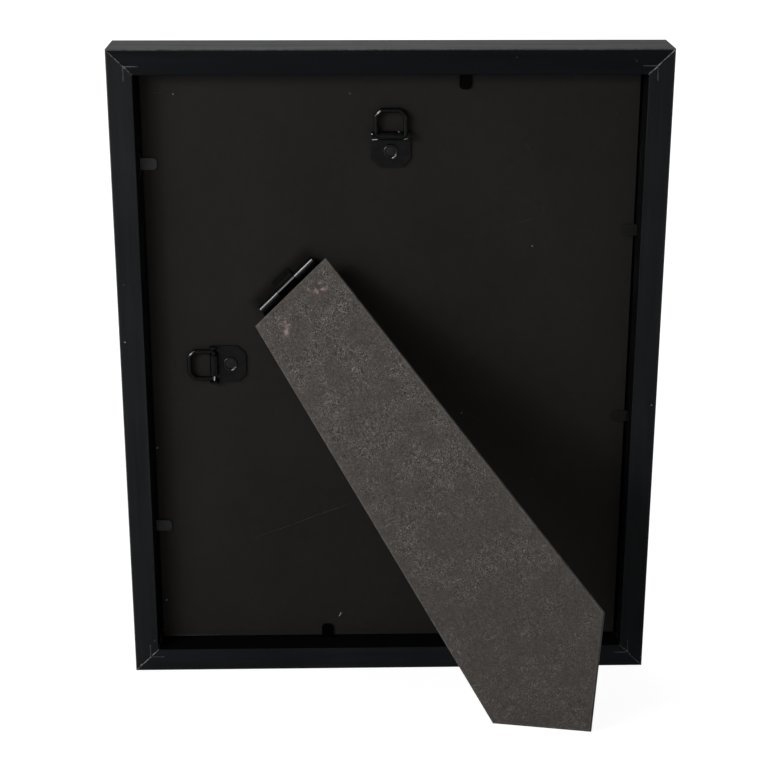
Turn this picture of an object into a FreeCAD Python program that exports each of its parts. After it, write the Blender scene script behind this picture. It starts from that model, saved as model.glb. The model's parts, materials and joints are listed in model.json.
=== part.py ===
import FreeCAD, Part
import math
import os
import re
import Sketcher

# An easel-back picture frame for an 8 x 10 inch print, seen from behind: mitred rails, a glazed stack
# held by bendable flex points, two ring hangers and a diagonal easel leg on a stopped pin hinge.
#
# Three sets of axes are used. The frame's own: X to the left as seen from behind, Y out of the back
# with 0 on the rails' back face, Z up, centred on the frame. The hinge's: X along the pin, Y up and
# away from the leg, Z out of the back. A hanger's or flex point's: Y towards its free end, Z out.

SIZES = {
    # print, rebate and moulding
    "print_width": 203.2,
    "print_height": 254.0,
    "rebate_play": 1.6,
    "rail_back": 10.4,
    "lip_reach": 6.4,
    "lip_thickness": 7.0,
    "rail_depth": 24.0,
    "front_round": 0.8,
    "back_round": 0.4,
    "overrun": 2.0,
    # stack behind the lip, front to back
    "glass_thickness": 2.0,
    "sheet_thickness": 0.3,
    "card_thickness": 2.2,
    "backer_thickness": 3.0,
    # V-nails across the mitres
    "nail_inset": 6.8,
    "nail_arm": 6.0,
    "nail_gauge": 0.5,
    "nail_depth": 7.0,
    "nail_fit": 0.02,
    # flex points: steel tabs in slits of the rebate wall, and their places along the rails
    "flex_width": 5.0,
    "flex_gauge": 0.5,
    "flex_root": 6.0,
    "flex_stub": 0.35,
    "flex_blade": 8.0,
    "flex_corner": 1.2,
    "flex_gap": 0.05,
    "flex_lift": 0.3,
    "flex_fit": 0.02,
    "flex_top": 30.3,
    "flex_bottom": 27.9,
    "flex_left_upper": 90.7,
    "flex_left_lower": 71.9,
    "flex_right_upper": 61.9,
    "flex_right_lower": 21.6,
    # how it stands, degrees
    "lean": 18.7,
    "landscape_lean": 18.88,
    "opening_angle": 34.2,
    "hinge_turn": 45.0,
    # easel hinge
    "hinge_across": 43.2,
    "hinge_up": 39.3,
    "axis_height": 3.0,
    "leaf_gauge": 0.8,
    "leaf_reach": 17.0,
    "landing_reach": 4.9,
    "joggle_run": 1.7,
    "barrel_radius": 1.9,
    "barrel_length": 31.0,
    "centre_knuckle": 9.8,
    "knuckle_gap": 0.2,
    "tongue_gap": 0.4,
    "pin_radius": 1.0,
    "pin_fit": 0.02,
    "pin_play": 0.05,
    "pin_end": 0.3,
    "pin_chamfer": 0.2,
    "leaf_clearance": 0.3,
    "stop_gap": 0.1,
    # solid rivets through the leaves
    "rivet_spacing": 20.0,
    "backer_rivet_down": 11.0,
    "leg_rivet_down": 9.2,
    "rivet_shank": 1.5,
    "rivet_head": 2.5,
    "rivet_rise": 0.9,
    "rivet_crown": 1.5,
    "rivet_fit": 0.02,
    "clinch_rise": 0.6,
    "blind_depth": 1.8,
    # easel leg, offsets along the pin from its middle
    "leg_thickness": 2.4,
    "leg_round": 0.3,
    "leg_top_width": 42.0,
    "leg_top_drop": 4.9,
    "foot_left": 44.0,
    "foot_right": 17.6,
    # ring hangers, their eyelets in from the backing board's edges
    "hanger_drop": 31.3,
    "hanger_inset": 33.4,
    "side_hanger_up": 3.5,
    "hanger_width": 16.3,
    "hanger_foot": 6.7,
    "hanger_corner": 3.4,
    "hanger_gauge": 0.8,
    "curl_rise": 6.8,
    "curl_radius": 1.85,
    "ring_wire": 1.0,
    "ring_play": 0.05,
    "ring_half_width": 6.1,
    "ring_reach": 10.5,
    "ring_corner": 2.4,
    "slot_play": 0.35,
    "slot_inset": 2.6,
    "slot_sink": 0.35,
    "eyelet_flange": 3.2,
    "eyelet_barrel": 2.25,
    "eyelet_bore": 1.85,
    "eyelet_rise": 0.6,
    "eyelet_edge": 0.25,
    "eyelet_dimple": 1.3,
    "eyelet_fit": 0.02,
}

NODES = []

document = FreeCAD.newDocument("PictureFrame")
sheet = document.addObject("Spreadsheet::Sheet", "Sizes")
for row, (name, size) in enumerate(SIZES.items(), start=1):
    sheet.set("A%d" % row, name)
    sheet.set("B%d" % row, str(size))
    sheet.setAlias("B%d" % row, name)
document.recompute()


# Formulas over the sheet

def bound(formula):
    """The formula with every size's name pointed at its cell."""
    return re.sub(r"[a-z][a-z_]+", lambda word: "Sizes." + word[0] if word[0] in SIZES else word[0], formula)


def value(formula):
    """What a formula comes to now."""
    return float(sheet.evalExpression(bound(formula)))


WIDTH = "(print_width + 2 * rebate_play + 2 * rail_back)"
HEIGHT = "(print_height + 2 * rebate_play + 2 * rail_back)"
RAIL_FRONT = "(rail_back + lip_reach)"
GLASS_BACK = "(rail_depth - lip_thickness - glass_thickness)"
SHEET_BACK = "(%s - sheet_thickness)" % GLASS_BACK
CARD_BACK = "(%s - card_thickness)" % SHEET_BACK
RECESS = "(%s - backer_thickness)" % CARD_BACK
TOP_HANGER = ("0", "(print_height / 2 - hanger_drop)")
SIDE_HANGER = ("(print_width / 2 - hanger_inset)", "side_hanger_up")


# Sketches and features

def new_body(name):
    return document.addObject("PartDesign::Body", name)


def origin_feature(body, role):
    return next(item for item in body.Origin.OriginFeatures if item.Role == role)


def new_sketch(body, name, plane, offset="0"):
    """An empty sketch on one of the body's own planes, moved along the plane's normal."""
    sketch = body.newObject("Sketcher::SketchObject", name)
    sketch.AttachmentSupport = [(origin_feature(body, plane), "")]
    sketch.MapMode = "FlatFace"
    if offset != "0":
        sketch.setExpression("AttachmentOffset.Base.z", bound(offset))
    return sketch


def hold(sketch, kind, geometry, point, formula):
    """One driving constraint from the sketch's origin, bound to its formula."""
    first = (geometry,) if kind == "Radius" else (-1, 1, geometry, point)
    index = sketch.addConstraint(Sketcher.Constraint(kind, *first, value(formula)))
    sketch.setExpression("Constraints[%d]" % index, bound(formula))


def add_outline(sketch, points):
    """A closed outline of straight runs through points given as formulas."""
    start = len(sketch.Geometry)
    places = [FreeCAD.Vector(value(across), value(up), 0) for across, up in points]
    count = len(points)
    for index in range(count):
        sketch.addGeometry(Part.LineSegment(places[index], places[(index + 1) % count]), False)
    for index in range(count):
        following = start + (index + 1) % count
        sketch.addConstraint(Sketcher.Constraint("Coincident", start + index, 2, following, 1))
    for index, (across, up) in enumerate(points):
        hold(sketch, "DistanceX", start + index, 1, across)
        hold(sketch, "DistanceY", start + index, 1, up)


def add_circle(sketch, across, up, radius):
    centre = FreeCAD.Vector(value(across), value(up), 0)
    index = sketch.addGeometry(Part.Circle(centre, FreeCAD.Vector(0, 0, 1), value(radius)), False)
    hold(sketch, "DistanceX", index, 3, across)
    hold(sketch, "DistanceY", index, 3, up)
    hold(sketch, "Radius", index, 3, radius)


def box_points(left, right, low, high):
    return [(left, low), (right, low), (right, high), (left, high)]


def pad(body, sketch, length, both_ways=False):
    feature = body.newObject("PartDesign::Pad", sketch.Name + "_pad")
    feature.Profile = sketch
    feature.setExpression("Length", bound(length))
    if both_ways:
        feature.SideType = "Symmetric"
    document.recompute()
    return feature


def pocket(body, sketch, depth=None, reverse=False):
    """A cut of a set depth, or right through both ways; it has to take something away."""
    before = body.Shape.Volume
    feature = body.newObject("PartDesign::Pocket", sketch.Name + "_pocket")
    feature.Profile = sketch
    if depth is None:
        feature.Type = "ThroughAll"
        feature.SideType = "Symmetric"
    else:
        feature.setExpression("Length", bound(depth))
        feature.Reversed = reverse
    document.recompute()
    if body.Shape.Volume >= before:
        raise RuntimeError(sketch.Label + " cuts nothing")
    return feature


def revolve(body, sketch):
    feature = body.newObject("PartDesign::Revolution", sketch.Name + "_turned")
    feature.Profile = sketch
    feature.ReferenceAxis = (origin_feature(body, "Z_Axis"), [""])
    document.recompute()
    return feature


def edges_where(shape, test):
    """Names of the straight edges whose two ends both pass the test."""
    names = []
    for index, edge in enumerate(shape.Edges, start=1):
        ends = [vertex.Point for vertex in edge.Vertexes]
        if len(ends) == 2 and all(test(end) for end in ends):
            names.append("Edge%d" % index)
    return names


def dress(body, kind, radius, edges):
    """A fillet or chamfer on edges of the feature made last."""
    base = body.Tip
    feature = body.newObject("PartDesign::" + kind, body.Name + "_" + kind.lower() + str(len(body.Group)))
    feature.Base = (base, edges)
    feature.setExpression("Radius" if kind == "Fillet" else "Size", bound(radius))
    document.recompute()
    return feature


def near(first, second):
    return math.isclose(first, second, abs_tol=value("flex_fit"))


# Placements

def placed(across, out, up, axes):
    """A placement at a point, with the directions of the piece's own X, Y and Z."""
    rotation = FreeCAD.Rotation(*[FreeCAD.Vector(*axis) for axis in axes], "ZXY")
    return FreeCAD.Placement(FreeCAD.Vector(across, out, up), rotation)


def turned(axis, angle):
    return FreeCAD.Placement(FreeCAD.Vector(), FreeCAD.Rotation(FreeCAD.Vector(*axis), angle))


def raised(height):
    return FreeCAD.Placement(FreeCAD.Vector(0, 0, height), FreeCAD.Rotation())


LEANING = turned((1, 0, 0), -value("lean")) * raised(value(HEIGHT + " / 2"))


def hinge_place():
    """The hinge's axes in the frame, with its origin at the middle of the pin."""
    turn = math.radians(value("hinge_turn"))
    along = (-math.cos(turn), 0, math.sin(turn))
    away = (math.sin(turn), 0, math.cos(turn))
    out = value("axis_height - " + RECESS)
    return placed(value("hinge_across"), out, value("hinge_up"), (along, away, (0, 1, 0)))


HINGE = LEANING * hinge_place()
LEG = HINGE * turned((1, 0, 0), -value("opening_angle"))


def keep(item, name, placement=None):
    """Give a finished piece its name and place, and list it for export."""
    item.Label = name
    if placement is not None:
        item.Placement = placement
    NODES.append(item)
    return item


def group(name, pieces):
    """Separate solids kept together as one named piece."""
    compound = document.addObject("Part::Compound", name)
    compound.Links = pieces
    return keep(compound, name)


# Rails: name, length, turn about Y, side of the frame, and flex points along it

RAILS = {
    "rail_bottom": (WIDTH, 0, (0, -1), {"flex_point_bottom": "flex_bottom"}),
    "rail_top": (WIDTH, 180, (0, 1), {"flex_point_top": "flex_top"}),
    "rail_left": (HEIGHT, -90, (1, 0), {
        "flex_point_left_upper": "flex_left_upper",
        "flex_point_left_lower": "-flex_left_lower",
    }),
    "rail_right": (HEIGHT, 90, (-1, 0), {
        "flex_point_right_upper": "-flex_right_upper",
        "flex_point_right_lower": "flex_right_lower",
    }),
}
FLEX_LEVEL = "(flex_lift + flex_gauge / 2 - %s)" % RECESS


def rail_place(name):
    length, turn, side, _ = RAILS[name]
    out = (side[0] * value(WIDTH + " / 2"), 0, side[1] * value(HEIGHT + " / 2"))
    return LEANING * FreeCAD.Placement(FreeCAD.Vector(*out), turned((0, 1, 0), turn).Rotation)


def cut_mitres(body, length):
    """Cut both ends at 45 degrees, from the outer corners inwards."""
    sketch = new_sketch(body, body.Name + "_mitres", "XZ_Plane")
    for side in ("", "-"):
        outer = side + "(%s / 2 + overrun)" % length
        inner = side + "(%s / 2 - %s - overrun)" % (length, RAIL_FRONT)
        top = RAIL_FRONT + " + overrun"
        add_outline(sketch, [(outer, "-overrun"), (outer, top), (inner, top)])
    pocket(body, sketch)


def cut_nail_slots(body, length):
    sketch = new_sketch(body, body.Name + "_nail_slots", "XZ_Plane")
    half = "(nail_gauge / 2 + nail_fit)"
    for side in ("", "-"):
        outer = side + "(%s / 2 - nail_inset + %s)" % (length, half)
        inner = side + "(%s / 2 - nail_inset - nail_arm - nail_fit)" % length
        add_outline(sketch, box_points(inner, outer, "nail_inset - " + half, "nail_inset + " + half))
    pocket(body, sketch, "nail_depth", reverse=True)


def cut_flex_slits(body, flexes):
    sketch = new_sketch(body, body.Name + "_flex_slits", "XY_Plane", "rail_back")
    low = FLEX_LEVEL + " - flex_gauge / 2 - flex_fit"
    high = FLEX_LEVEL + " + flex_gauge / 2 + flex_fit"
    half = "(flex_width / 2 + flex_fit)"
    for place in flexes.values():
        add_outline(sketch, box_points(place + " - " + half, place + " + " + half, low, high))
    pocket(body, sketch, "flex_root")


def lengthwise_edges(shape, depth):
    """Edges that run the rail's whole length, on the face at this depth."""
    level = edges_where(shape, lambda end: near(end.y, value(depth)))
    return [name for name in level if near(shape.getElement(name).Length, shape.BoundBox.XLength)]


def make_rail(name):
    length, _, _, flexes = RAILS[name]
    body = new_body(name)
    profile = new_sketch(body, name + "_profile", "YZ_Plane")
    add_outline(profile, [
        ("-rail_depth", "0"),
        ("0", "0"),
        ("0", "rail_back"),
        ("lip_thickness - rail_depth", "rail_back"),
        ("lip_thickness - rail_depth", RAIL_FRONT),
        ("-rail_depth", RAIL_FRONT),
    ])
    pad(body, profile, length, both_ways=True)
    dress(body, "Fillet", "front_round", lengthwise_edges(body.Tip.Shape, "-rail_depth"))
    dress(body, "Fillet", "back_round", lengthwise_edges(body.Tip.Shape, "0"))
    cut_mitres(body, length)
    cut_nail_slots(body, length)
    cut_flex_slits(body, flexes)
    return keep(body, name, rail_place(name))


def make_nails():
    """One V of strip steel over each mitre, its arms along the two rails, driven flush."""
    half = "nail_gauge / 2"
    reach = "nail_inset + nail_arm"
    nails = []
    for index, (across, up) in enumerate(((1, 1), (-1, 1), (-1, -1), (1, -1))):
        body = new_body("v_nail_%d" % index)
        sketch = new_sketch(body, "v_nail_outline_%d" % index, "XZ_Plane")
        low = "nail_inset - " + half
        high = "nail_inset + " + half
        add_outline(sketch, [(low, low), (reach, low), (reach, high), (high, high), (high, reach), (low, reach)])
        pad(body, sketch, "nail_depth")
        quarter = {(-1, -1): 0, (-1, 1): 90, (1, 1): 180, (1, -1): 270}[(across, up)]
        corner = FreeCAD.Vector(across * value(WIDTH + " / 2"), 0, up * value(HEIGHT + " / 2"))
        body.Placement = LEANING * FreeCAD.Placement(corner, turned((0, 1, 0), quarter).Rotation)
        nails.append(body)
    return group("v_nails", nails)


# The stack in the rebate

def make_panel(name, back, thickness, holes=()):
    """A flat sheet of the print's size, its back face the given depth in front of the rails' back."""
    body = new_body(name)
    sketch = new_sketch(body, name + "_outline", "XZ_Plane", back)
    half = ("print_width / 2", "print_height / 2")
    add_outline(sketch, box_points("-" + half[0], half[0], "-" + half[1], half[1]))
    pad(body, sketch, thickness)
    for index, (across, up, radius, sink_radius, sink) in enumerate(holes):
        through = new_sketch(body, "%s_hole_%d" % (name, index), "XZ_Plane", back)
        add_circle(through, across, up, radius)
        pocket(body, through)
        sunk = new_sketch(body, "%s_sink_%d" % (name, index), "XZ_Plane", "%s + %s" % (back, thickness))
        add_circle(sunk, across, up, sink_radius)
        pocket(body, sunk, sink)
    return keep(body, name, LEANING)


def backer_holes():
    """Holes for the two eyelets and the two hinge rivets, sunk on the inner face for their clinches."""
    eyelet = ("eyelet_barrel + eyelet_fit", "eyelet_flange + eyelet_fit", "eyelet_rise + eyelet_fit")
    rivet = ("rivet_shank + rivet_fit", "rivet_head + rivet_fit", "clinch_rise + rivet_fit")
    holes = [TOP_HANGER + eyelet, SIDE_HANGER + eyelet]
    for side in ("", "-"):
        along = side + "rivet_spacing / 2"
        across = "hinge_across - %s * cos(hinge_turn) - backer_rivet_down * sin(hinge_turn)"
        up = "hinge_up + %s * sin(hinge_turn) - backer_rivet_down * cos(hinge_turn)"
        holes.append((across % ("(%s)" % along), up % ("(%s)" % along)) + rivet)
    return holes


# Flex points

def flex_place(rail, along, rise="0"):
    """Axes at a slit: X back along the rail, Y out of the rebate wall, Z out of the back."""
    point = (value(along), value(FLEX_LEVEL), value("rail_back + " + rise))
    return rail_place(rail) * placed(*point, ((-1, 0, 0), (0, 0, 1), (0, 1, 0)))


FLEX_AXIS = "(flex_stub + flex_gap + flex_gauge / 2)"


def make_flex_roots():
    roots = []
    for rail, (_, _, _, flexes) in RAILS.items():
        for name, along in flexes.items():
            root = document.addObject("Part::Box", name + "_root")
            root.setExpression("Length", bound("flex_width"))
            root.setExpression("Width", bound("flex_root + flex_stub"))
            root.setExpression("Height", bound("flex_gauge"))
            corner = FreeCAD.Vector(-value("flex_width / 2"), -value("flex_root"), -value("flex_gauge / 2"))
            root.Placement = flex_place(rail, along) * FreeCAD.Placement(corner, FreeCAD.Rotation())
            roots.append(root)
    return group("flex_point_roots", roots)


def make_flex_blade(rail, name, along):
    """The part that bends: a thin tab with clipped corners and a rounded end on the bend line."""
    body = new_body(name)
    outline = new_sketch(body, name + "_outline", "XY_Plane", "-flex_gauge / 2")
    half = "flex_width / 2"
    add_outline(outline, [
        ("-" + half, "0"),
        (half, "0"),
        (half, "flex_blade - flex_corner"),
        (half + " - flex_corner", "flex_blade"),
        ("flex_corner - " + half, "flex_blade"),
        ("-" + half, "flex_blade - flex_corner"),
    ])
    pad(body, outline, "flex_gauge")
    bend = new_sketch(body, name + "_bend", "YZ_Plane")
    add_circle(bend, "0", "0", "flex_gauge / 2")
    pad(body, bend, "flex_width", both_ways=True)
    return keep(body, name, flex_place(rail, along, FLEX_AXIS))


# Easel hinge, in the hinge's axes

KNUCKLE_HALF = "(centre_knuckle / 2)"
SEAT = "-axis_height"


def bore(body, radius):
    sketch = new_sketch(body, body.Name + "_bore", "YZ_Plane")
    add_circle(sketch, "0", "0", radius)
    pocket(body, sketch)


def rivet_holes(body, down):
    sketch = new_sketch(body, body.Name + "_rivet_holes", "XY_Plane")
    for side in ("", "-"):
        add_circle(sketch, side + "rivet_spacing / 2", "-" + down, "rivet_shank + rivet_fit")
    pocket(body, sketch)


def make_backer_leaf():
    """A flat leaf with two joggled outer knuckles, and a tongue between them that the heel lands on."""
    body = new_body("hinge_leaf_backer")
    clear = "(barrel_radius + leaf_clearance)"
    rest = "(%s + joggle_run)" % clear
    curl = new_sketch(body, "outer_knuckles", "YZ_Plane")
    add_circle(curl, "0", "0", "barrel_radius")
    pad(body, curl, "barrel_length", both_ways=True)
    strip = new_sketch(body, "joggle", "YZ_Plane")
    add_outline(strip, [
        ("-" + rest, SEAT),
        ("-barrel_radius", "-barrel_radius"),
        ("0", "-barrel_radius"),
        ("0", "leaf_gauge - barrel_radius"),
        ("-" + clear, "leaf_gauge - barrel_radius"),
        ("-%s - leaf_clearance" % rest, "leaf_gauge - axis_height"),
        ("-%s - leaf_clearance" % rest, SEAT),
    ])
    pad(body, strip, "barrel_length", both_ways=True)
    gap = new_sketch(body, "centre_gap", "XY_Plane")
    half = "(%s + knuckle_gap)" % KNUCKLE_HALF
    add_outline(gap, box_points("-" + half, half, "-" + rest, clear))
    pocket(body, gap)
    leaf = new_sketch(body, "flat_leaf", "XY_Plane", SEAT)
    side = "barrel_length / 2"
    tongue = "(%s - tongue_gap)" % KNUCKLE_HALF
    add_outline(leaf, [
        ("-" + side, "-leaf_reach"),
        (side, "-leaf_reach"),
        (side, "-" + rest),
        (tongue, "-" + rest),
        (tongue, "landing_reach"),
        ("-" + tongue, "landing_reach"),
        ("-" + tongue, "-" + rest),
        ("-" + side, "-" + rest),
    ])
    pad(body, leaf, "leaf_gauge")
    bore(body, "pin_radius + pin_fit")
    rivet_holes(body, "backer_rivet_down")
    return keep(body, "hinge_leaf_backer", HINGE)


def make_leg_leaf():
    """The moving leaf: centre knuckle, flat leaf tangent to it, and a heel that stops the opening."""
    body = new_body("hinge_leaf_leg")
    start = "(barrel_radius + leaf_clearance)"
    inner = "(barrel_radius - leaf_gauge)"
    heel_reach = "((axis_height - leaf_gauge - stop_gap - leaf_gauge / 2 * cos(opening_angle)) / sin(opening_angle))"
    knuckle = new_sketch(body, "centre_knuckle", "YZ_Plane")
    add_circle(knuckle, "0", "0", "barrel_radius")
    pad(body, knuckle, "centre_knuckle", both_ways=True)
    neck = new_sketch(body, "neck", "YZ_Plane")
    add_outline(neck, box_points("-" + start, "0", inner, "barrel_radius"))
    pad(body, neck, "centre_knuckle", both_ways=True)
    heel = new_sketch(body, "heel", "YZ_Plane")
    add_outline(heel, box_points("pin_radius", heel_reach, "-leaf_gauge / 2", "leaf_gauge / 2"))
    pad(body, heel, "centre_knuckle - 2 * tongue_gap", both_ways=True)
    leaf = new_sketch(body, "moving_leaf", "XY_Plane", inner)
    add_outline(leaf, box_points("-barrel_length / 2", "barrel_length / 2", "-leaf_reach", "-" + start))
    pad(body, leaf, "leaf_gauge")
    bore(body, "pin_radius + pin_play")
    rivet_holes(body, "leg_rivet_down")
    return keep(body, "hinge_leaf_leg", LEG)


def make_pin():
    body = new_body("hinge_pin")
    sketch = new_sketch(body, "pin_section", "YZ_Plane")
    add_circle(sketch, "0", "0", "pin_radius")
    solid = pad(body, sketch, "barrel_length + 2 * pin_end", both_ways=True)
    ends = [name for name in ("Edge%d" % (index + 1) for index in range(len(solid.Shape.Edges)))
            if solid.Shape.getElement(name).isClosed()]
    dress(body, "Chamfer", "pin_chamfer", ends)
    return keep(body, "hinge_pin", HINGE)


def make_turned(name, profile, placement):
    """A piece turned about its own Z, its half profile given as formulas."""
    body = new_body(name)
    sketch = new_sketch(body, name + "_profile", "XZ_Plane")
    add_outline(sketch, profile)
    revolve(body, sketch)
    body.Placement = placement
    return body


def rivet_pair(name, down, profile, hinge):
    """Two alike, side by side along the hinge."""
    rivets = []
    for index, side in enumerate((-1, 1)):
        spot = FreeCAD.Vector(side * value("rivet_spacing / 2"), -value(down), 0)
        place = hinge * FreeCAD.Placement(spot, FreeCAD.Rotation())
        rivets.append(make_turned("%s_%d" % (name, index), profile, place))
    return group(name, rivets)


def make_backer_rivets():
    top = "(leaf_gauge - axis_height)"
    bottom = "(-axis_height - backer_thickness)"
    return rivet_pair("backer_rivets", "backer_rivet_down", [
        ("0", bottom),
        ("rivet_head", bottom),
        ("rivet_head", bottom + " + clinch_rise"),
        ("rivet_shank", bottom + " + clinch_rise"),
        ("rivet_shank", top),
        ("rivet_head", top),
        ("rivet_head", top + " + rivet_rise / 2"),
        ("rivet_crown", top + " + rivet_rise"),
        ("0", top + " + rivet_rise"),
    ], HINGE)


def make_leg_rivets():
    """Heads under the moving leaf; the shanks end inside the board, under its paper."""
    under = "(barrel_radius - leaf_gauge)"
    end = "(barrel_radius + blind_depth)"
    return rivet_pair("leg_rivets", "leg_rivet_down", [
        ("0", under + " - rivet_rise"),
        ("rivet_crown", under + " - rivet_rise"),
        ("rivet_head", under + " - rivet_rise / 2"),
        ("rivet_head", under),
        ("rivet_shank", under),
        ("rivet_shank", end),
        ("0", end),
    ], LEG)


# Easel leg: where its foot meets the ground, upright and on the frame's side

def ground_lift(lean):
    """How far the rounded back edge lifts the frame at this lean."""
    return "(back_round * (cos(%s) + sin(%s) - 1))" % (lean, lean)


def reach_terms(lean, rise, turn_sine, turn_cosine):
    """The two halves of a reach down the leg: the distance at the leg's middle, and what divides it."""
    offset = "barrel_radius * (%s * sin(opening_angle) - cos(opening_angle) * tan(%s))" % (turn_cosine, lean)
    seat = "(%s - axis_height) * tan(%s)" % (RECESS, lean)
    whole = "(%s - %s / cos(%s) + %s + %s)" % (rise, ground_lift(lean), lean, offset, seat)
    divisor = "(%s * cos(opening_angle) + sin(opening_angle) * tan(%s))" % (turn_cosine, lean)
    return whole, divisor


def foot_formulas():
    """Reach to the foot's three corners, and the offset of its tip, which serves both ways of standing."""
    sine, cosine = "sin(hinge_turn)", "cos(hinge_turn)"
    upright, upright_by = reach_terms("lean", "hinge_up + %s / 2" % HEIGHT, sine, cosine)
    aside, aside_by = reach_terms("landscape_lean", "hinge_across + %s / 2" % WIDTH, cosine, sine)
    left = "((%s - foot_left * %s) / %s)" % (upright, sine, upright_by)
    right = "((%s - foot_right * %s) / %s)" % (aside, cosine, aside_by)
    tip_across = "((%s / %s - %s / %s) / (%s / %s + %s / %s))" % (
        aside, aside_by, upright, upright_by, sine, upright_by, cosine, aside_by)
    tip = "((%s + %s * %s) / %s)" % (upright, tip_across, sine, upright_by)
    return left, right, tip_across, tip


def make_leg():
    body = new_body("easel_leg")
    left, right, tip_across, tip = foot_formulas()
    outline = new_sketch(body, "leg_outline", "XY_Plane", "barrel_radius")
    add_outline(outline, [
        ("-leg_top_width / 2", "-leg_top_drop"),
        ("leg_top_width / 2", "-leg_top_drop"),
        ("foot_right", "-" + right),
        (tip_across, "-" + tip),
        ("-foot_left", "-" + left),
    ])
    solid = pad(body, outline, "leg_thickness")
    outside = value("barrel_radius + leg_thickness")
    dress(body, "Fillet", "leg_round", edges_where(solid.Shape, lambda end: near(end.z, outside)))
    holes = new_sketch(body, "leg_rivet_seats", "XY_Plane", "barrel_radius")
    for side in ("", "-"):
        add_circle(holes, side + "rivet_spacing / 2", "-leg_rivet_down", "rivet_shank + rivet_fit")
    pocket(body, holes, "blind_depth + rivet_fit", reverse=True)
    return keep(body, "easel_leg", LEG)


# Ring hangers, in a hanger's axes

HANGERS = {
    "top": (*TOP_HANGER, ((-1, 0, 0), (0, 0, 1), (0, 1, 0))),
    "side": (*SIDE_HANGER, ((0, 0, 1), (1, 0, 0), (0, 1, 0))),
}


def hanger_place(which):
    across, up, axes = HANGERS[which]
    return LEANING * placed(value(across), -value(RECESS), value(up), axes)


def make_hanger_plate(which):
    """Strip folded round the ring's bar, with slots where the ring's sides come out."""
    name = "hanger_plate_" + which
    body = new_body(name)
    outline = new_sketch(body, name + "_outline", "XY_Plane")
    half = "(hanger_width / 2)"
    add_outline(outline, [
        ("hanger_corner - " + half, "-hanger_foot"),
        (half + " - hanger_corner", "-hanger_foot"),
        (half, "hanger_corner - hanger_foot"),
        (half, "curl_rise"),
        ("-" + half, "curl_rise"),
        ("-" + half, "hanger_corner - hanger_foot"),
    ])
    pad(body, outline, "hanger_gauge")
    curl = new_sketch(body, name + "_curl", "YZ_Plane")
    add_circle(curl, "curl_rise", "curl_radius", "curl_radius")
    pad(body, curl, "hanger_width", both_ways=True)
    bar = new_sketch(body, name + "_bar_bore", "YZ_Plane")
    add_circle(bar, "curl_rise", "curl_radius", "ring_wire + ring_play")
    pocket(body, bar)
    slots = new_sketch(body, name + "_slots", "XY_Plane", "hanger_gauge - slot_sink")
    for side in ("", "-"):
        outer = side + "(ring_half_width + ring_wire + slot_play)"
        inner = side + "(ring_half_width + ring_wire - slot_inset)"
        low = "curl_rise - curl_radius - slot_play"
        add_outline(slots, box_points(inner, outer, low, "curl_rise + curl_radius + slot_play"))
    pocket(body, slots, "2 * curl_radius", reverse=True)
    eyelet = new_sketch(body, name + "_eyelet_hole", "XY_Plane")
    add_circle(eyelet, "0", "0", "eyelet_barrel + eyelet_fit")
    pocket(body, eyelet)
    return keep(body, name, hanger_place(which))


def make_ring(which):
    """Round wire bent to a loop with clipped far corners; its bar turns in the curl."""
    name = "hanger_ring_" + which
    body = new_body(name)
    path = new_sketch(body, name + "_path", "XY_Plane")
    half = "ring_half_width"
    add_outline(path, [
        ("0", "0"),
        (half, "0"),
        (half, "ring_reach - ring_corner"),
        (half + " - ring_corner", "ring_reach"),
        ("ring_corner - " + half, "ring_reach"),
        ("-" + half, "ring_reach - ring_corner"),
        ("-" + half, "0"),
    ])
    section = new_sketch(body, name + "_section", "YZ_Plane")
    add_circle(section, "0", "0", "ring_wire")
    wire = body.newObject("PartDesign::AdditivePipe", name + "_wire")
    wire.Profile = section
    wire.Spine = (path, [])
    wire.Transition = "Right corner"
    document.recompute()
    spot = FreeCAD.Placement(FreeCAD.Vector(0, value("curl_rise"), value("curl_radius")), FreeCAD.Rotation())
    return keep(body, name, hanger_place(which) * spot)


def make_eyelet(which):
    """Dimpled rivet: a flange on the plate, a barrel through the board, a clinch sunk in its inner face."""
    name = "hanger_rivet_" + which
    top = "hanger_gauge"
    bottom = "(-backer_thickness)"
    body = make_turned(name, [
        ("0", bottom),
        ("eyelet_flange", bottom),
        ("eyelet_flange", bottom + " + eyelet_rise"),
        ("eyelet_barrel", bottom + " + eyelet_rise"),
        ("eyelet_barrel", top),
        ("eyelet_flange", top),
        ("eyelet_flange", top + " + eyelet_rise - eyelet_edge"),
        ("eyelet_flange - eyelet_edge", top + " + eyelet_rise"),
        ("eyelet_bore + eyelet_edge", top + " + eyelet_rise"),
        ("eyelet_bore", top + " + eyelet_rise - eyelet_edge"),
        ("eyelet_bore", top + " + eyelet_rise - eyelet_dimple"),
        ("0", top + " + eyelet_rise - eyelet_dimple"),
    ], hanger_place(which))
    return keep(body, name)


# Build, stand on the ground, check and export

def build():
    for name in RAILS:
        make_rail(name)
    make_nails()
    make_panel("glass_pane", GLASS_BACK, "glass_thickness")
    make_panel("print_sheet", SHEET_BACK, "sheet_thickness")
    make_panel("filler_card", CARD_BACK, "card_thickness")
    make_panel("backer_board", RECESS, "backer_thickness", backer_holes())
    make_flex_roots()
    for rail, (_, _, _, flexes) in RAILS.items():
        for name, along in flexes.items():
            make_flex_blade(rail, name, along)
    make_backer_leaf()
    make_leg_leaf()
    make_pin()
    make_backer_rivets()
    make_leg_rivets()
    make_leg()
    for which in HANGERS:
        make_hanger_plate(which)
        make_ring(which)
        make_eyelet(which)
    document.recompute()


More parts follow.
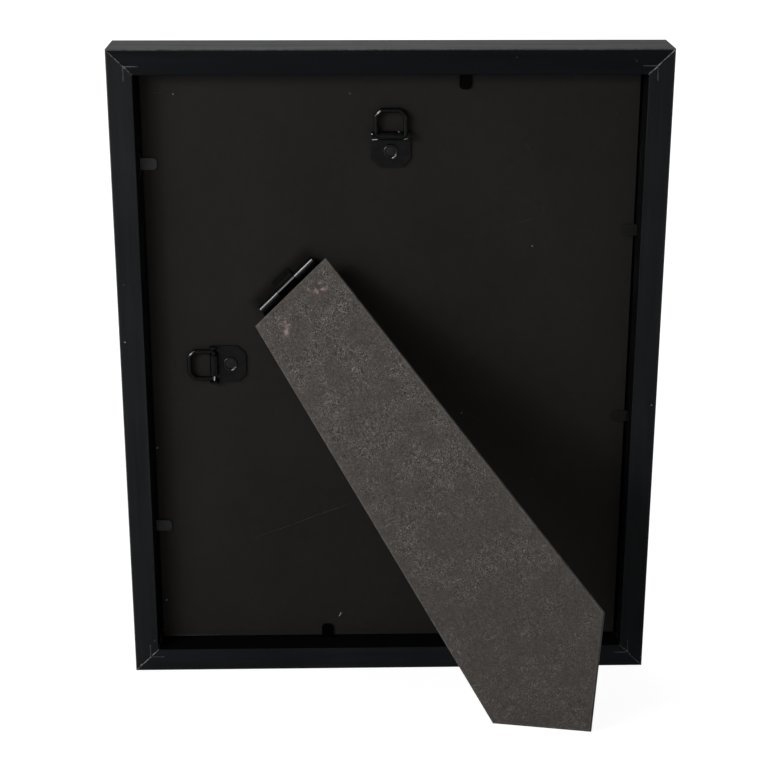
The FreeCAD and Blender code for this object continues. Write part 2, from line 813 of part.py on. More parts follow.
def stand():
    """Move everything so that the origin is the bottom centre of the standing frame's box."""
    box = Part.makeCompound([node.Shape for node in NODES]).optimalBoundingBox(False, False)
    move = FreeCAD.Vector(-box.Center.x, -box.Center.y, -box.ZMin)
    shift = FreeCAD.Placement(move, FreeCAD.Rotation())
    for node in NODES:
        for piece in (node.Links if node.TypeId == "Part::Compound" else [node]):
            piece.Placement = shift * piece.Placement
    document.recompute()
    return shift


def check():
    for item in document.Objects:
        if "Invalid" in item.State or "Error" in item.State:
            raise RuntimeError(item.Label + " did not build")
    for node in NODES:
        if node.Shape.isNull() or not node.Shape.isValid():
            raise RuntimeError(node.Label + " is not a sound solid")


def report(shift):
    """Where the moving pieces turn, in millimetres."""
    pivots = {"easel_leg": HINGE}
    for which in HANGERS:
        spot = FreeCAD.Vector(0, value("curl_rise"), value("curl_radius"))
        pivots["hanger_ring_" + which] = hanger_place(which) * FreeCAD.Placement(spot, FreeCAD.Rotation())
    for rail, (_, _, _, flexes) in RAILS.items():
        for name, along in flexes.items():
            pivots[name] = flex_place(rail, along, FLEX_AXIS)
    for name, place in pivots.items():
        point = (shift * place).Base
        axis = place.Rotation.multVec(FreeCAD.Vector(1, 0, 0))
        print(name, [round(part, 4) for part in point], [round(part, 6) for part in axis])


build()
moved = stand()
check()
os.makedirs("parts", exist_ok=True)
for node in NODES:
    node.Shape.exportStep("parts/%s.step" % node.Label)
    print(node.Label, len(node.Shape.Solids), round(node.Shape.Volume, 1))
report(moved)
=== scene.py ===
import json
import math
import bmesh
import bpy
from mathutils import Matrix, Vector
from mathutils.geometry import convex_hull_2d


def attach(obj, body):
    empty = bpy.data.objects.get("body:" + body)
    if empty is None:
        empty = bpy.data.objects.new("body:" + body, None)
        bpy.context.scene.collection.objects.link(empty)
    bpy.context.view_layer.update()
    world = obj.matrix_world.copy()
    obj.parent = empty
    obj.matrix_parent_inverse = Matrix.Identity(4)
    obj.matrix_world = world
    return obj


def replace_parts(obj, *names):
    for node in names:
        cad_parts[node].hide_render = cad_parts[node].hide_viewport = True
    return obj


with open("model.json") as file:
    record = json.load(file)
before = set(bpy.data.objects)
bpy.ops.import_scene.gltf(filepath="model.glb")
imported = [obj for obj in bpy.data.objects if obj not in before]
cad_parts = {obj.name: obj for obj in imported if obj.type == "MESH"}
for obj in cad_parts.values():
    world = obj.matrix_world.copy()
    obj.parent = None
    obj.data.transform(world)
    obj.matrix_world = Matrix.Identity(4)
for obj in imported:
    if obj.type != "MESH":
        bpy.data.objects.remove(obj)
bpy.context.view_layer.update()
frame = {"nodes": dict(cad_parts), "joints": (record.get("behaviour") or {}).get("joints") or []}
mm = 0.001
nodes = frame["nodes"]
print("frame loaded:", len(nodes), "nodes")

# The frame leans back. Places on it are given in millimetres as seen from behind:
# right, up from its middle, and out from the rails' back face.
jointOf = {j["child"]: j for j in frame["joints"]}
upAxis = Vector(jointOf["ring_side"]["axis"]).normalized()
hingeAxis = Vector(jointOf["easel_leg"]["axis"]).normalized()
hingeSpot = Vector(jointOf["easel_leg"]["pos_m"])
rightAxis = Vector((-1, 0, 0))
outAxis = rightAxis.cross(upAxis)
leanAngle = math.atan2(upAxis.y, upAxis.z)


def reach(node, axis, pick):
    return pick(v.co.dot(axis) for v in nodes[node].data.vertices)


backFace = reach("rail_left", outAxis, max)
outerTop = reach("rail_top", upAxis, max)
outerBottom = reach("rail_bottom", upAxis, min)
faceMiddle = outAxis * backFace + upAxis * ((outerTop + outerBottom) / 2)
halfHeight = (outerTop - outerBottom) / 2
halfWidth = reach("rail_left", -rightAxis, max)
boardFace = (reach("backer_board", outAxis, max) - backFace) / mm


def spot(right, up, out=0.0):
    return faceMiddle + (rightAxis * right + upAxis * up + outAxis * out) * mm


# Small helpers for node trees: a value that is a socket is linked, any other is set.
def feed(tree, socket, value):
    if isinstance(value, bpy.types.NodeSocket):
        tree.links.new(value, socket)
    else:
        socket.default_value = value


def addNode(tree, kind, inputs=None, **settings):
    node = tree.nodes.new(kind)
    for name, value in settings.items():
        setattr(node, name, value)
    for name, value in (inputs or {}).items():
        feed(tree, node.inputs[name], value)
    return node


def addTwinned(tree, kind, dataType, inputs, output):
    # this kind of node has sockets that share a label, so each is found by its identifier
    node = addNode(tree, kind, data_type=dataType)
    sockets = {s.identifier: s for s in node.inputs}
    for name, value in inputs.items():
        feed(tree, sockets[name], value)
    return next(s for s in node.outputs if s.identifier == output)


def maths(tree, operation, a, b=0.5):
    return addNode(tree, "ShaderNodeMath", {0: a, 1: b}, operation=operation).outputs[0]


def times(tree, a, b):
    return maths(tree, "MULTIPLY", a, b)


def vectorMaths(tree, operation, a, b):
    second = "Scale" if operation == "SCALE" else 1
    node = addNode(tree, "ShaderNodeVectorMath", {0: a, second: b}, operation=operation)
    return node.outputs["Value" if operation in ("DOT_PRODUCT", "DISTANCE") else "Vector"]


def spread(tree, value, low, high, toLow=0.0, toHigh=1.0):
    inputs = {"Value": value, "From Min": low, "From Max": high, "To Min": toLow, "To Max": toHigh}
    return addNode(tree, "ShaderNodeMapRange", inputs).outputs["Result"]


def fade(tree, value, near, far):
    return spread(tree, value, near, far, 1.0, 0.0)


def rgb(red, green, blue):
    return (red, green, blue, 1.0)


def blendColour(tree, factor, a, b):
    inputs = {"Factor_Float": factor, "A_Color": a, "B_Color": b}
    return addTwinned(tree, "ShaderNodeMix", "RGBA", inputs, "Result_Color")


def layOver(tree, base, mask, amount, colour):
    return blendColour(tree, times(tree, mask, amount), base, colour)


def objectPlace(tree):
    return addNode(tree, "ShaderNodeTexCoord").outputs["Object"]


def frameCoordinates(tree):
    # turned to lie along the leaning frame, with its middle at zero
    lie = {"Vector": objectPlace(tree), "Location": faceMiddle, "Rotation": (-leanAngle, 0, 0)}
    return addNode(tree, "ShaderNodeMapping", lie, vector_type="TEXTURE").outputs["Vector"]


def noiseAt(tree, place, scale, detail, rough=0.5, curl=0.0, seed=None):
    inputs = {"Vector": place, "Scale": scale, "Detail": detail, "Roughness": rough, "Distortion": curl}
    if seed is not None:
        inputs["W"] = seed
    dimensions = "3D" if seed is None else "4D"
    return addNode(tree, "ShaderNodeTexNoise", inputs, noise_dimensions=dimensions).outputs["Fac"]


def attribute(tree, name):
    return addNode(tree, "ShaderNodeAttribute", attribute_name=name).outputs["Fac"]


socketKinds = {bool: "NodeSocketBool", int: "NodeSocketInt", float: "NodeSocketFloat",
               tuple: "NodeSocketVector"}


def newTree(name, kind, inputs, outputs, outputKind):
    # an input is given by its default, or by its socket's kind where it has none
    tree = bpy.data.node_groups.new(name, kind)
    for label, value in inputs.items():
        socketKind = value if isinstance(value, str) else socketKinds[type(value)]
        socket = tree.interface.new_socket(name=label, in_out="INPUT", socket_type=socketKind)
        if socketKind != value:
            socket.default_value = value
    for label in outputs:
        tree.interface.new_socket(name=label, in_out="OUTPUT", socket_type=outputKind)
    return tree, tree.nodes.new("NodeGroupInput").outputs, tree.nodes.new("NodeGroupOutput").inputs


def newEffect(name, inputs, outputs):
    return newTree(name, "ShaderNodeTree", inputs, outputs, "NodeSocketFloat")


def makeBrushMarks():
    group, ins, outs = newEffect("brushMarks", {"Stretch": (10, 400, 400), "Seed": 0.0}, ["Streak", "Cloud"])
    lie = frameCoordinates(group)
    long = vectorMaths(group, "MULTIPLY", lie, ins["Stretch"])
    fine = noiseAt(group, long, 1.0, 4.0, rough=0.6, seed=ins["Seed"])
    soft = noiseAt(group, lie, 28.0, 3.0, seed=ins["Seed"])
    group.links.new(spread(group, fine, 0.3, 0.7), outs["Streak"])
    group.links.new(spread(group, soft, 0.35, 0.65), outs["Cloud"])
    return group


def makePaperGrain():
    # short curled fibres pressed into the paper, pale ones and the dark creases between them,
    # over a softer mottle
    group, ins, outs = newEffect("paperGrain", {"Fibres per metre": 700.0, "Curl": 1.6, "Fibre width": 0.16},
                                 ["Fibre", "Crease", "Mottle", "Cloud"])
    place = objectPlace(group)
    curled = noiseAt(group, place, ins["Fibres per metre"], 1.5, curl=ins["Curl"])
    for label, level in {"Fibre": 0.54, "Crease": 0.44}.items():
        ridge = maths(group, "ABSOLUTE", maths(group, "SUBTRACT", curled, level))
        group.links.new(fade(group, ridge, 0.0, ins["Fibre width"]), outs[label])
    mottle = noiseAt(group, place, 330.0, 4.0, rough=0.7)
    group.links.new(spread(group, mottle, 0.32, 0.68), outs["Mottle"])
    cloud = noiseAt(group, place, 22.0, 3.0)
    group.links.new(spread(group, cloud, 0.3, 0.7), outs["Cloud"])
    return group


def makeFineDust():
    group, ins, outs = newEffect("fineDust", {"Specks per metre": 260.0, "Amount": 0.3}, ["Dust"])
    cells = addNode(group, "ShaderNodeTexVoronoi", {"Vector": objectPlace(group),
                                                    "Scale": ins["Specks per metre"]}).outputs
    chance = addNode(group, "ShaderNodeSeparateColor", {"Color": cells["Color"]}).outputs["Red"]
    chosen = maths(group, "LESS_THAN", chance, ins["Amount"])
    group.links.new(times(group, fade(group, cells["Distance"], 0.05, 0.12), chosen), outs["Dust"])
    return group


def makeRubbedMitresAndPaintedLight():
    # paint rubbed off along the mitres; a pale line along the outer arrises, partly rubbed paint and partly a
    # painted highlight; painted shade on the rails' inner walls; all sizes in metres
    sizes = {"Line width": 0.00024, "Arris width": 0.0006, "Rail width": 0.0102}
    group, ins, outs = newEffect("rubbedMitresAndPaintedLight", sizes, ["Mitre", "Arris", "WallShade"])
    lie = frameCoordinates(group)
    axes = addNode(group, "ShaderNodeSeparateXYZ", {"Vector": lie}).outputs
    fromSide = maths(group, "SUBTRACT", halfWidth, maths(group, "ABSOLUTE", axes["X"]))
    fromEnd = maths(group, "SUBTRACT", halfHeight, maths(group, "ABSOLUTE", axes["Z"]))
    nearest = maths(group, "MINIMUM", fromSide, fromEnd)
    offMitre = maths(group, "ABSOLUTE", maths(group, "SUBTRACT", fromSide, fromEnd))
    chips = noiseAt(group, lie, 420.0, 5.0, rough=0.7)
    ragged = maths(group, "ADD", spread(group, chips, 0.4, 0.62), 0.35)
    line = maths(group, "LESS_THAN", offMitre, times(group, ins["Line width"], ragged))
    # two opposite corners are rubbed harder than the others
    hard = maths(group, "LESS_THAN", times(group, axes["X"], axes["Z"]), 0.0)
    broken = times(group, spread(group, hard, 0.0, 1.0, 0.2, 1.0), spread(group, chips, 0.42, 0.55, 0.1, 1.0))
    group.links.new(times(group, line, broken), outs["Mitre"])
    # only the rim between the back face and the sides is within the arris width of both
    depth = maths(group, "ABSOLUTE", axes["Y"])
    rim = fade(group, maths(group, "MAXIMUM", nearest, depth), 0.0, ins["Arris width"])
    # the pale arris line: partly rubbed paint, partly a painted highlight where light catches the edge
    group.links.new(times(group, rim, spread(group, chips, 0.4, 0.62, 0.4, 1.0)), outs["Arris"])
    # painted shade: the rails' inner walls, inside the rail width and below the back face
    inside = maths(group, "GREATER_THAN", nearest, ins["Rail width"])
    group.links.new(times(group, inside, maths(group, "GREATER_THAN", depth, 0.1 * mm)), outs["WallShade"])
    return group


brushMarks = makeBrushMarks()
paperGrain = makePaperGrain()
fineDust = makeFineDust()
rubbedMitresAndPaintedLight = makeRubbedMitresAndPaintedLight()
print("shared effects made")


def setInputs(inputs, values):
    for name, value in values.items():
        inputs[name].default_value = value


def useGroup(tree, group, values):
    node = tree.nodes.new("ShaderNodeGroup")
    node.node_tree = group
    setInputs(node.inputs, values)
    return node.outputs


def useDust(tree, perMetre, amount):
    return useGroup(tree, fineDust, {"Specks per metre": perMetre, "Amount": amount})["Dust"]


def newMaterial(name, specular=0.5, constants=None):
    material = bpy.data.materials.new(name)
    material.use_nodes = True
    shader = material.node_tree.nodes["Principled BSDF"].inputs
    setInputs(shader, {"Specular IOR Level": specular, **(constants or {})})
    return material, material.node_tree, shader


def dress(tree, shader, colour, rough):
    tree.links.new(colour, shader["Base Color"])
    tree.links.new(rough, shader["Roughness"])


def addBump(tree, shader, height, strength, depth):
    bump = addNode(tree, "ShaderNodeBump", {"Height": height, "Strength": strength, "Distance": depth * mm})
    tree.links.new(bump.outputs["Normal"], shader["Normal"])


railLook = {"specular": 0.04, "rough": (0.36, 0.48), "streak": 0.8, "cloud": 0.25, "wall": 0.85, "arris": 0.5,
            "mitre": 0.9, "dust": 0.4, "across": (14, 420, 420), "upright": (420, 420, 14),
            "cloudTone": rgb(0.002, 0.0022, 0.003), "wallShadeTone": rgb(0.0008, 0.0008, 0.0009),
            "bareWoodAndHighlight": rgb(0.2, 0.195, 0.19), "dustTone": rgb(0.12, 0.12, 0.12)}


def makeRailPaint(name, way, deep, pale, seed):
    look = railLook
    material, tree, shader = newMaterial(name, look["specular"])
    marks = useGroup(tree, brushMarks, {"Stretch": look[way], "Seed": seed})
    worn = useGroup(tree, rubbedMitresAndPaintedLight, {})
    dust = useDust(tree, 300.0, 0.012)
    paint = layOver(tree, rgb(*deep), marks["Streak"], look["streak"], rgb(*pale))
    paint = layOver(tree, paint, marks["Cloud"], look["cloud"], look["cloudTone"])
    # painted shade darkens the rails' inner walls
    paint = layOver(tree, paint, worn["WallShade"], look["wall"], look["wallShadeTone"])
    # the arris line is partly bare wood and partly a painted highlight; the mitres are bare wood
    paint = layOver(tree, paint, worn["Arris"], look["arris"], look["bareWoodAndHighlight"])
    paint = layOver(tree, paint, worn["Mitre"], look["mitre"], look["bareWoodAndHighlight"])
    paint = layOver(tree, paint, dust, look["dust"], look["dustTone"])
    dress(tree, shader, paint, spread(tree, marks["Streak"], 0, 1, *look["rough"]))
    addBump(tree, shader, marks["Streak"], 0.35, 0.06)
    return material


def makeBackerPaper():
    look = {"dark": rgb(0.0091, 0.0083, 0.0074), "light": rgb(0.0137, 0.0124, 0.0110),
            "dust": rgb(0.09, 0.085, 0.08), "barrelShade": rgb(0.0025, 0.0024, 0.0022),
            "barrelShadeBeside": (4.6 * mm, 8.0 * mm), "barrelShadeAlong": (15.0 * mm, 19.0 * mm)}
    material, tree, shader = newMaterial("backerPaper", 0.04)
    grain = useGroup(tree, paperGrain, {})
    tone = maths(tree, "ADD", times(tree, grain["Mottle"], 0.55), times(tree, grain["Cloud"], 0.45))
    paper = blendColour(tree, tone, look["dark"], look["light"])
    paper = layOver(tree, paper, useDust(tree, 240.0, 0.008), 0.5, look["dust"])
    # painted shade: a dark soft halo on the board beside the hinge barrel
    away = vectorMaths(tree, "SUBTRACT", objectPlace(tree), hingeSpot)
    along = vectorMaths(tree, "DOT_PRODUCT", away, hingeAxis)
    gap = vectorMaths(tree, "DISTANCE", away, vectorMaths(tree, "SCALE", hingeAxis, along))
    barrelShade = times(tree, fade(tree, gap, *look["barrelShadeBeside"]),
                  fade(tree, maths(tree, "ABSOLUTE", along), *look["barrelShadeAlong"]))
    paper = layOver(tree, paper, barrelShade, 0.75, look["barrelShade"])
    dress(tree, shader, paper, spread(tree, grain["Mottle"], 0, 1, 0.62, 0.8))
    addBump(tree, shader, grain["Mottle"], 0.25, 0.1)
    return material


def makeLegPaper():
    look = {"dark": rgb(0.0312, 0.0278, 0.0250), "light": rgb(0.0500, 0.0448, 0.0403),
            "warm": rgb(0.0445, 0.0370, 0.0328), "edge": rgb(0.12, 0.115, 0.105),
            "rub": rgb(0.19, 0.14, 0.125), "fibre": rgb(0.17, 0.163, 0.155),
            "crease": rgb(0.008, 0.0075, 0.007), "foot": rgb(0.027, 0.0235, 0.0213), "long": 210.0}
    material, tree, shader = newMaterial("legPaper", 0.08)
    grain = useGroup(tree, paperGrain, {"Fibres per metre": 520.0, "Curl": 2.6, "Fibre width": 0.045})
    place, down, rim = objectPlace(tree), attribute(tree, "downLeg"), attribute(tree, "rimDistance")
    paper = blendColour(tree, grain["Mottle"], look["dark"], look["light"])
    paper = layOver(tree, paper, grain["Cloud"], 0.5, look["warm"])
    # the fibres show in patches, and less towards the foot and the rim
    blots = noiseAt(tree, place, 85.0, 2.0)
    paper = blendColour(tree, spread(tree, blots, 0.35, 0.55, 0.4, 0.0), paper, look["dark"])
    patch = spread(tree, blots, 0.42, 0.6, 0.45, 1.0)
    patch = times(tree, patch, spread(tree, down, 0.0, look["long"], 1.0, 0.4))
    patch = times(tree, patch, spread(tree, rim, 0.5, 3.0, 0.65, 1.0))
    crease = times(tree, grain["Crease"], patch)
    fibre = times(tree, grain["Fibre"], patch)
    # painted shade: the paper darker towards the foot
    paper = blendColour(tree, spread(tree, down, 0.0, look["long"], 0.0, 0.5), paper, look["foot"])
    paper = layOver(tree, paper, crease, 0.95, look["crease"])
    paper = layOver(tree, paper, fibre, 0.9, look["fibre"])
    # paler along the ragged rim, partly worn paper and partly a painted highlight on the rounded edge, and
    # rubbed where the rivets push the paper up
    ragged = spread(tree, noiseAt(tree, place, 500.0, 4.0), 0.35, 0.6, 0.2, 0.9)
    paper = layOver(tree, paper, times(tree, fade(tree, rim, 0.1, 0.9), ragged), 0.45, look["edge"])
    blotch = spread(tree, noiseAt(tree, place, 420.0, 4.0, seed=2.3), 0.47, 0.6)
    paper = layOver(tree, paper, attribute(tree, "rivetRub"), blotch, look["rub"])
    dress(tree, shader, paper, spread(tree, fibre, 0, 1, 0.75, 0.6))
    addBump(tree, shader, maths(tree, "SUBTRACT", fibre, crease), 0.5, 0.15)
    return material


def makeEnamel(name, specular, low, high):
    look = {"dark": rgb(0.0012, 0.0012, 0.0013), "light": rgb(0.003, 0.003, 0.0031),
            "dust": rgb(0.08, 0.08, 0.08)}
    material, tree, shader = newMaterial(name, specular)
    ripple = noiseAt(tree, objectPlace(tree), 420.0, 2.0)
    paint = blendColour(tree, spread(tree, ripple, 0.3, 0.7), look["dark"], look["light"])
    paint = layOver(tree, paint, useDust(tree, 900.0, 0.02), 0.3, look["dust"])
    dress(tree, shader, paint, spread(tree, ripple, 0.3, 0.7, low, high))
    addBump(tree, shader, ripple, 0.25, 0.08)
    return material


def shades(tone, darker):
    return rgb(*(darker * c for c in tone)), rgb(*tone)


def makeSteel(name, tone, low, high):
    material, tree, shader = newMaterial(name, constants={"Metallic": 1.0})
    drawn = {"Vector": objectPlace(tree), "Scale": (260, 2600, 2600)}
    lines = noiseAt(tree, addNode(tree, "ShaderNodeMapping", drawn).outputs["Vector"], 1.0, 3.0)
    colour = blendColour(tree, spread(tree, lines, 0.3, 0.7), *shades(tone, 0.7))
    dress(tree, shader, colour, spread(tree, lines, 0.3, 0.7, low, high))
    return material


def makeWornNails():
    # paint left on the strip's end but for a thin bare line down its middle, patchy along its run
    look = {"inset": 6.8, "paint": rgb(0.005, 0.0055, 0.006), "bare": rgb(0.055, 0.057, 0.059), "line": 0.16}
    material, tree, shader = newMaterial("wornNails", 0.1)
    lie = frameCoordinates(tree)
    axes = addNode(tree, "ShaderNodeSeparateXYZ", {"Vector": lie}).outputs
    away = []
    for axis, half in {"X": halfWidth, "Z": halfHeight}.items():
        inward = maths(tree, "SUBTRACT", maths(tree, "ABSOLUTE", axes[axis]), half - look["inset"] * mm)
        away.append(maths(tree, "ABSOLUTE", inward))
    line = maths(tree, "LESS_THAN", maths(tree, "MINIMUM", *away), look["line"] * mm)
    wear = noiseAt(tree, lie, 330.0, 3.0, rough=0.7)
    bare = times(tree, line, spread(tree, wear, 0.38, 0.6, 0.25, 1.0))
    colour = blendColour(tree, bare, look["paint"], look["bare"])
    dress(tree, shader, colour, spread(tree, wear, 0.3, 0.7, 0.4, 0.6))
    return material


def makeClearGlass():
    glass = {"Transmission Weight": 1.0, "IOR": 1.5, "Metallic": 0.0, "Base Color": rgb(0.93, 0.97, 0.95)}
    material, tree, shader = newMaterial("clearGlass", constants=glass)
    smear = noiseAt(tree, objectPlace(tree), 30.0, 4.0)
    tree.links.new(spread(tree, smear, 0.4, 0.7, 0.0, 0.05), shader["Roughness"])
    return material


def makePlainPaper(name, dark, light, low, high):
    material, tree, shader = newMaterial(name, 0.25)
    grain = useGroup(tree, paperGrain, {"Fibres per metre": 1200.0, "Curl": 0.4})
    colour = blendColour(tree, grain["Mottle"], rgb(*dark), rgb(*light))
    dress(tree, shader, colour, spread(tree, grain["Cloud"], 0, 1, low, high))
    addBump(tree, shader, grain["Fibre"], 0.1, 0.05)
    return material


def makeFlat(name, tone, rough, specular=0.2):
    # small marks: one tone, broken up a little
    material, tree, shader = newMaterial(name, specular)
    noise = noiseAt(tree, objectPlace(tree), 800.0, 3.0)
    colour = blendColour(tree, spread(tree, noise, 0.35, 0.65), *shades(tone, 0.6))
    dress(tree, shader, colour, spread(tree, noise, 0.3, 0.7, rough - 0.05, rough + 0.05))
    return material


# painted light: the rails share one black paint in three tones, the uprights lightest as a painted sheen from
# the light on the left, the top rail darkest, the bottom rail between
topPaintWithPaintedShade = makeRailPaint("railPaintTopWithPaintedShade", "across", (0.0019, 0.0025, 0.0032), (0.0040, 0.0048, 0.0060), 1.0)
bottomPaintWithPaintedLight = makeRailPaint("railPaintBottomWithPaintedLight", "across", (0.0056, 0.0068, 0.0073),
                            (0.0100, 0.0118, 0.0126), 3.0)
uprightPaintWithPaintedSheen = makeRailPaint("railPaintUprightWithPaintedSheen", "upright", (0.0064, 0.0070, 0.0074),
                             (0.0120, 0.0126, 0.0133), 7.0)
backerPaper = makeBackerPaper()
legPaper = makeLegPaper()
blackEnamel = makeEnamel("blackEnamel", 0.22, 0.05, 0.1)
dullEnamel = makeEnamel("dullEnamel", 0.1, 0.35, 0.5)
wireEnamel = makeEnamel("wireEnamel", 0.11, 0.05, 0.1)
wornNails = makeWornNails()
platedSteel = makeSteel("platedSteel", (0.45, 0.45, 0.46), 0.2, 0.35)
clearGlass = makeClearGlass()
printPaper = makePlainPaper("printPaper", (0.80, 0.79, 0.77), (0.86, 0.85, 0.83), 0.4, 0.5)
fillerCard = makePlainPaper("fillerCard", (0.38, 0.35, 0.31), (0.48, 0.45, 0.40), 0.75, 0.85)
# painted light and shade: the flex points are one blackened metal, grey on the left where they face the
# light, dark on the right, top and bottom
bladeLitGrey = makeFlat("bladeLitGrey", (0.0135, 0.0140, 0.0152), 0.4)
bladeShadedBrown = makeFlat("bladeShadedBrown", (0.0080, 0.0076, 0.0070), 0.45, 0.08)
bladeShadedBlack = makeFlat("bladeShadedBlack", (0.0006, 0.0006, 0.0007), 0.35, 0.02)
leafBlack = makeFlat("leafBlack", (0.0004, 0.0004, 0.0005), 0.6, 0.0)
leafShadeTone = makeFlat("leafShadeTone", (0.0042, 0.0040, 0.0037), 0.7, 0.03)
dustGrey = makeFlat("dustGrey", (0.06, 0.058, 0.054), 0.8)
dustPale = makeFlat("dustPale", (0.22, 0.22, 0.21), 0.8)
scuffBrown = makeFlat("scuffBrown", (0.05, 0.043, 0.035), 0.7)
chipPale = makeFlat("chipPale", (0.20, 0.19, 0.175), 0.7)
paintedGlintSteel = makeFlat("paintedGlintSteel", (0.42, 0.42, 0.41), 0.3, 0.5)
print("materials made")

# Every CAD node gets its finish here, whether it stays or a finer piece stands for it.
finishOf = {
    "rail_top": topPaintWithPaintedShade, "rail_bottom": bottomPaintWithPaintedLight, "rail_left": uprightPaintWithPaintedSheen, "rail_right": uprightPaintWithPaintedSheen,
    "v_nails": wornNails, "glass_pane": clearGlass, "print_sheet": printPaper, "filler_card": fillerCard,
    "backer_board": backerPaper, "easel_leg": legPaper,
    "backer_rivets": platedSteel, "leg_rivets": platedSteel,
}
for name, node in nodes.items():
    node.data.materials.clear()
    node.data.materials.append(finishOf.get(name, blackEnamel))
# light passes straight through the pane to the print
nodes["glass_pane"].visible_shadow = False
nodes["glass_pane"].visible_diffuse = False


def putInScene(name, data):
    thing = bpy.data.objects.new(name, data)
    bpy.context.scene.collection.objects.link(thing)
    return thing


def addPiece(name, mesh, body):
    piece = putInScene(name, mesh)
    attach(piece, body)
    return piece


# Geometry Nodes: a tree with named inputs, run on a seed mesh, kept as a plain mesh.
def newGrowth(name, inputs):
    inputs = {"Geometry": "NodeSocketGeometry", **inputs, "Material": "NodeSocketMaterial"}
    return newTree(name, "GeometryNodeTree", inputs, ["Geometry"], "NodeSocketGeometry")


def shape(tree, kind, inputs=None, **settings):
    return addNode(tree, "GeometryNode" + kind, inputs, **settings).outputs[0]


def joined(tree, *parts):
    node = tree.nodes.new("GeometryNodeJoinGeometry")
    for part in parts:
        tree.links.new(part, node.inputs[0])
    return node.outputs[0]


def endGrowth(tree, ins, outs, geometry, smooth=True):
    if smooth:
        geometry = shape(tree, "SetShadeSmooth", {"Geometry": geometry})
    whole = shape(tree, "RealizeInstances", {"Geometry": geometry})
    coated = shape(tree, "SetMaterial", {"Geometry": whole, "Material": ins["Material"]})
    tree.links.new(coated, outs["Geometry"])
    return tree


def runTree(tree, name, seedMesh, values):
    carrier = putInScene(name + "Seed", seedMesh)
    modifier = carrier.modifiers.new("grow", "NODES")
    modifier.node_group = tree
    sockets = {item.name: item.identifier for item in tree.interface.items_tree if item.in_out == "INPUT"}
    for label, value in values.items():
        modifier[sockets[label]] = value
    bpy.context.view_layer.update()
    graph = bpy.context.evaluated_depsgraph_get()
    mesh = bpy.data.meshes.new_from_object(carrier.evaluated_get(graph), depsgraph=graph)
    mesh.name = name
    bpy.data.objects.remove(carrier)
    return mesh


def newMesh(name, points, edges, faces):
    mesh = bpy.data.meshes.new(name)
    mesh.from_pydata(points, edges, faces)
    return mesh


def lineMesh(points, closed=False):
    edges = [(i, i + 1) for i in range(len(points) - 1)] + ([(len(points) - 1, 0)] if closed else [])
    return newMesh("path", points, edges, [])


def makeWireTree():
    tree, ins, outs = newGrowth("bentWire", {"Wire radius": 0.001, "Bend radius": 0.001, "Sides": 20})
    path = shape(tree, "MeshToCurve", {"Mesh": ins["Geometry"]})
    bent = shape(tree, "FilletCurve", {"Curve": path, "Count": 5, "Radius": ins["Bend radius"],
                                       "Limit Radius": True}, mode="POLY")
    ring = shape(tree, "CurvePrimitiveCircle", {"Radius": ins["Wire radius"], "Resolution": ins["Sides"]})
    tube = shape(tree, "CurveToMesh", {"Curve": bent, "Profile Curve": ring, "Fill Caps": True})
    return endGrowth(tree, ins, outs, tube)


def makeScratchTree():
    # a hair-fine raised line that swells and fades along its run
    tree, ins, outs = newGrowth("scratch", {"Width": 0.0002, "Step": 0.0006, "Waver": 0.00012, "Broken": 0.0,
                                            "Seed": 0.0})
    path = shape(tree, "MeshToCurve", {"Mesh": ins["Geometry"]})
    fine = shape(tree, "ResampleCurve", {"Curve": path, "Length": ins["Step"]}, mode="LENGTH")
    noise = addNode(tree, "ShaderNodeTexNoise", {"W": ins["Seed"], "Scale": 900.0, "Detail": 2.0},
                    noise_dimensions="4D").outputs
    shift = vectorMaths(tree, "SUBTRACT", noise["Color"], (0.5, 0.5, 0.5))
    shift = vectorMaths(tree, "SCALE", shift, ins["Waver"])
    moved = shape(tree, "SetPosition", {"Geometry": fine, "Offset": shift})
    along = shape(tree, "SplineParameter")
    taper = times(tree, times(tree, along, maths(tree, "SUBTRACT", 1.0, along)), 4.0)
    thin = maths(tree, "SUBTRACT", 0.25, ins["Broken"])
    swell = spread(tree, noise["Fac"], 0.36, 0.64, thin, 1.0)
    swell = maths(tree, "MAXIMUM", times(tree, maths(tree, "POWER", taper, 0.35), swell), 0.02)
    ring = shape(tree, "CurvePrimitiveCircle", {"Radius": times(tree, ins["Width"], 0.5), "Resolution": 5})
    hair = shape(tree, "CurveToMesh", {"Curve": moved, "Profile Curve": ring, "Scale": swell,
                                       "Fill Caps": True})
    return endGrowth(tree, ins, outs, hair)


def makeDustTree():
    # low five-sided flakes, scattered over faces or set on the seed's own points
    tree, ins, outs = newGrowth("dustFlakes", {"Flakes per square metre": 0.0, "On points": False,
                                               "Size": 0.0003, "Seed": 1, "Lie": "NodeSocketRotation"})
    scattered = shape(tree, "DistributePointsOnFaces", {"Mesh": ins["Geometry"], "Seed": ins["Seed"],
                                                        "Density": ins["Flakes per square metre"]})
    placed = shape(tree, "MeshToPoints", {"Mesh": ins["Geometry"], "Selection": ins["On points"]})
    both = joined(tree, scattered, placed)
    flake = shape(tree, "MeshCone", {"Vertices": 5, "Radius Top": 0.45, "Radius Bottom": 1.0, "Depth": 0.2})
    grade = addTwinned(tree, "FunctionNodeRandomValue", "FLOAT",
                       {"Min_001": 0.25, "Max_001": 1.0, "Seed": ins["Seed"]}, "Value_001")
    size = times(tree, times(tree, grade, grade), ins["Size"])
    sizes = addNode(tree, "ShaderNodeCombineXYZ", {"X": size, "Y": times(tree, size, 0.7), "Z": size})
    there = shape(tree, "InstanceOnPoints", {"Points": both, "Instance": flake, "Rotation": ins["Lie"],
                                             "Scale": sizes.outputs[0]})
    spin = addTwinned(tree, "FunctionNodeRandomValue", "FLOAT_VECTOR",
                      {"Min": (0, 0, 0), "Max": (0, 0, 6.28), "Seed": ins["Seed"]}, "Value")
    turn = addNode(tree, "FunctionNodeEulerToRotation", {0: spin}).outputs[0]
    turned = shape(tree, "RotateInstances", {"Instances": there, "Rotation": turn})
    return endGrowth(tree, ins, outs, turned, smooth=False)


